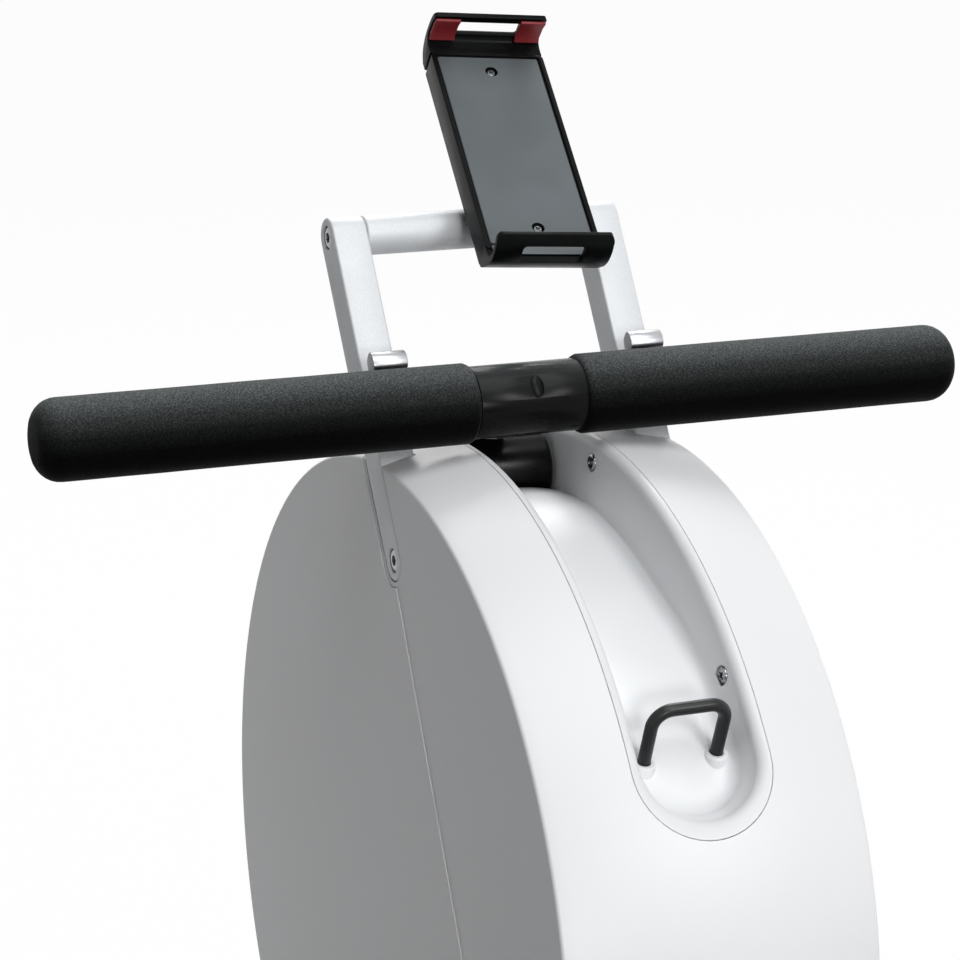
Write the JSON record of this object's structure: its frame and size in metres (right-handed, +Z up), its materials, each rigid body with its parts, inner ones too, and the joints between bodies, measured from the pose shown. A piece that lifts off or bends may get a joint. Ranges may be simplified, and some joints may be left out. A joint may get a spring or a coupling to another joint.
{
  "type": "rowing machine",
  "caption": "Magnetic rowing machine: round upright drum with a belt-driven flywheel, sliding seat on a rail, footplates, pull handle in two rests and a tilting tablet holder.",
  "frame": {"origin": "on the floor, at the middle of the machine's outer box", "axes": "+Z up; +Y from the rower towards the drum, along the rail; +X to the rower's right"},
  "size_m": [0.52, 1.9998, 0.7697],
  "materials": {
    "white_abs": "satin white moulded ABS",
    "silver_paint": "satin silver-white powder coat",
    "rest_metal": "satin cast, tips polished by the handle",
    "black_steel": "semi-gloss black powder coat",
    "anodised_aluminium": "satin anodised extrusion",
    "zinc_steel": "zinc plated",
    "black_plastic": "fine grained black",
    "foam": "matte closed-cell foam",
    "webbing": "woven polyester",
    "rubber": "matte",
    "red_rubber": "matte dark red",
    "flywheel_iron": "turned and plated",
    "magnet": "nickel plated",
    "seat_vinyl": "embossed black vinyl"
  },
  "bodies": {
    "frame": {"front_cover": "white_abs", "rear_cover": "white_abs", "channel_insert": "white_abs", "wire_hoop": "black_steel", "arm_left": "silver_paint", "arm_right": "silver_paint", "crossbar": "silver_paint", "handle_rest_left": "rest_metal", "handle_rest_right": "rest_metal", "chassis_plate_left": "zinc_steel", "chassis_plate_right": "zinc_steel", "guide_roller_axle": "zinc_steel", "recoil_spring_case": "zinc_steel", "flywheel_axle": "zinc_steel", "drive_belt": "rubber", "gear_motor": "black_plastic", "base_frame": "black_steel", "front_cap_left": "black_plastic", "front_cap_right": "black_plastic", "rail": "anodised_aluminium", "rail_end_cap": "black_plastic", "rear_leg": "black_steel", "rear_cap_left": "black_plastic", "rear_cap_right": "black_plastic", "foot_bracket": "black_steel", "footplate_left": "black_plastic", "footplate_right": "black_plastic", "foot_strap_left": "webbing", "foot_strap_right": "webbing", "pull_strap": "webbing"},
    "handle": {"handle_tube": "black_steel", "grip_left": "foam", "grip_right": "foam"},
    "spool": {"main_axle": "zinc_steel", "strap_spool": "black_plastic"},
    "drive_pulley": {"one_way_clutch": "zinc_steel", "drive_pulley": "black_plastic"},
    "flywheel": {"flywheel": "flywheel_iron", "flywheel_pulley": "zinc_steel", "flywheel_bearing_left": "zinc_steel", "flywheel_bearing_right": "zinc_steel"},
    "magnet_yoke": {"magnet_yoke": "zinc_steel", "magnet_inner": "magnet", "magnet_outer": "magnet"},
    "guide_roller": {"guide_roller": "black_plastic"},
    "transport_wheel_left": {"transport_wheel_left": "rubber"},
    "transport_wheel_right": {"transport_wheel_right": "rubber"},
    "heel_cup_left": {"heel_cup_left": "black_plastic"},
    "heel_cup_right": {"heel_cup_right": "black_plastic"},
    "seat": {"seat_cushion": "seat_vinyl", "seat_carriage": "zinc_steel"},
    "seat_roller_front_left": {"seat_roller_front_left": "rubber"},
    "seat_roller_front_right": {"seat_roller_front_right": "rubber"},
    "seat_roller_back_left": {"seat_roller_back_left": "rubber"},
    "seat_roller_back_right": {"seat_roller_back_right": "rubber"},
    "tablet_clamp": {"tablet_clamp": "black_plastic"},
    "tablet_tray": {"tablet_tray": "black_plastic"},
    "tablet_jaw": {"tablet_jaw": "black_plastic", "jaw_pad_left": "red_rubber", "jaw_pad_right": "red_rubber"}
  },
  "joints": [
    {"name": "handle_pull", "type": "slide", "parent": "frame", "child": "handle", "axis": [0, -0.9903, 0.1392], "range_m": [0, 1.2], "stiffness_N_per_m": 15, "springref_m": -1},
    {"name": "spool_spin", "type": "hinge", "parent": "frame", "child": "spool", "pos_m": [0, 0.7839, 0.39], "axis": [1, 0, 0], "range_deg": [0, 1722]},
    {"name": "guide_roller_spin", "type": "hinge", "parent": "frame", "child": "guide_roller", "pos_m": [0, 0.8034, 0.5427], "axis": [1, 0, 0], "range_deg": [0, 3375]},
    {"name": "flywheel_spin", "type": "hinge", "parent": "frame", "child": "flywheel", "pos_m": [0, 0.7149, 0.275], "axis": [1, 0, 0], "continuous": true},
    {"name": "drive_pulley_spin", "type": "hinge", "parent": "frame", "child": "drive_pulley", "pos_m": [0, 0.7839, 0.39], "axis": [1, 0, 0], "continuous": true},
    {"name": "magnet_adjust", "type": "hinge", "parent": "frame", "child": "magnet_yoke", "pos_m": [0, 0.8577, 0.24982], "axis": [1, 0, 0], "range_deg": [0, 8]},
    {"name": "transport_wheel_left_spin", "type": "hinge", "parent": "frame", "child": "transport_wheel_left", "pos_m": [-0.234, 0.8187, 0.032], "axis": [1, 0, 0], "continuous": true},
    {"name": "transport_wheel_right_spin", "type": "hinge", "parent": "frame", "child": "transport_wheel_right", "pos_m": [0.234, 0.8187, 0.032], "axis": [1, 0, 0], "continuous": true},
    {"name": "heel_cup_left_slide", "type": "slide", "parent": "frame", "child": "heel_cup_left", "axis": [0, 0.6691, 0.7431], "range_m": [-0.026, 0.032]},
    {"name": "heel_cup_right_slide", "type": "slide", "parent": "frame", "child": "heel_cup_right", "axis": [0, 0.6691, 0.7431], "range_m": [-0.026, 0.032]},
    {"name": "seat_slide", "type": "slide", "parent": "frame", "child": "seat", "axis": [0, 1, 0], "range_m": [-0.5, 0.34]},
    {"name": "seat_roller_front_left_spin", "type": "hinge", "parent": "seat", "child": "seat_roller_front_left", "pos_m": [-0.0225, -0.24, 0.3123], "axis": [1, 0, 0], "range_deg": [-1150, 1690]},
    {"name": "seat_roller_front_right_spin", "type": "hinge", "parent": "seat", "child": "seat_roller_front_right", "pos_m": [0.0225, -0.24, 0.3123], "axis": [1, 0, 0], "range_deg": [-1150, 1690]},
    {"name": "seat_roller_back_left_spin", "type": "hinge", "parent": "seat", "child": "seat_roller_back_left", "pos_m": [-0.0225, -0.36, 0.3123], "axis": [1, 0, 0], "range_deg": [-1150, 1690]},
    {"name": "seat_roller_back_right_spin", "type": "hinge", "parent": "seat", "child": "seat_roller_back_right", "pos_m": [0.0225, -0.36, 0.3123], "axis": [1, 0, 0], "range_deg": [-1150, 1690]},
    {"name": "tablet_tilt", "type": "hinge", "parent": "frame", "child": "tablet_clamp", "pos_m": [0.0213, 0.8336, 0.66321], "axis": [1, 0, 0], "range_deg": [-25, 20]},
    {"name": "tablet_turn", "type": "hinge", "parent": "tablet_clamp", "child": "tablet_tray", "pos_m": [0.0213, 0.82203, 0.67765], "axis": [0, -0.6252, 0.7804], "range_deg": [-90, 90]},
    {"name": "tablet_jaw_slide", "type": "slide", "parent": "tablet_tray", "child": "tablet_jaw", "axis": [0.0941, 0.777, 0.6225], "range_m": [0, 0.04], "stiffness_N_per_m": 150, "springref_m": -0.025}
  ],
  "couplings": [
    {"joint": "spool_spin", "follows": "handle_pull", "rad_per_m": 25},
    {"joint": "guide_roller_spin", "follows": "handle_pull", "rad_per_m": 49.02},
    {"joint": "drive_pulley_spin", "follows": "flywheel_spin", "ratio": 0.22222},
    {"joint": "seat_roller_front_left_spin", "follows": "seat_slide", "rad_per_m": -58.824},
    {"joint": "seat_roller_front_right_spin", "follows": "seat_slide", "rad_per_m": -58.824},
    {"joint": "seat_roller_back_left_spin", "follows": "seat_slide", "rad_per_m": -58.824},
    {"joint": "seat_roller_back_right_spin", "follows": "seat_slide", "rad_per_m": -58.824}
  ]
}
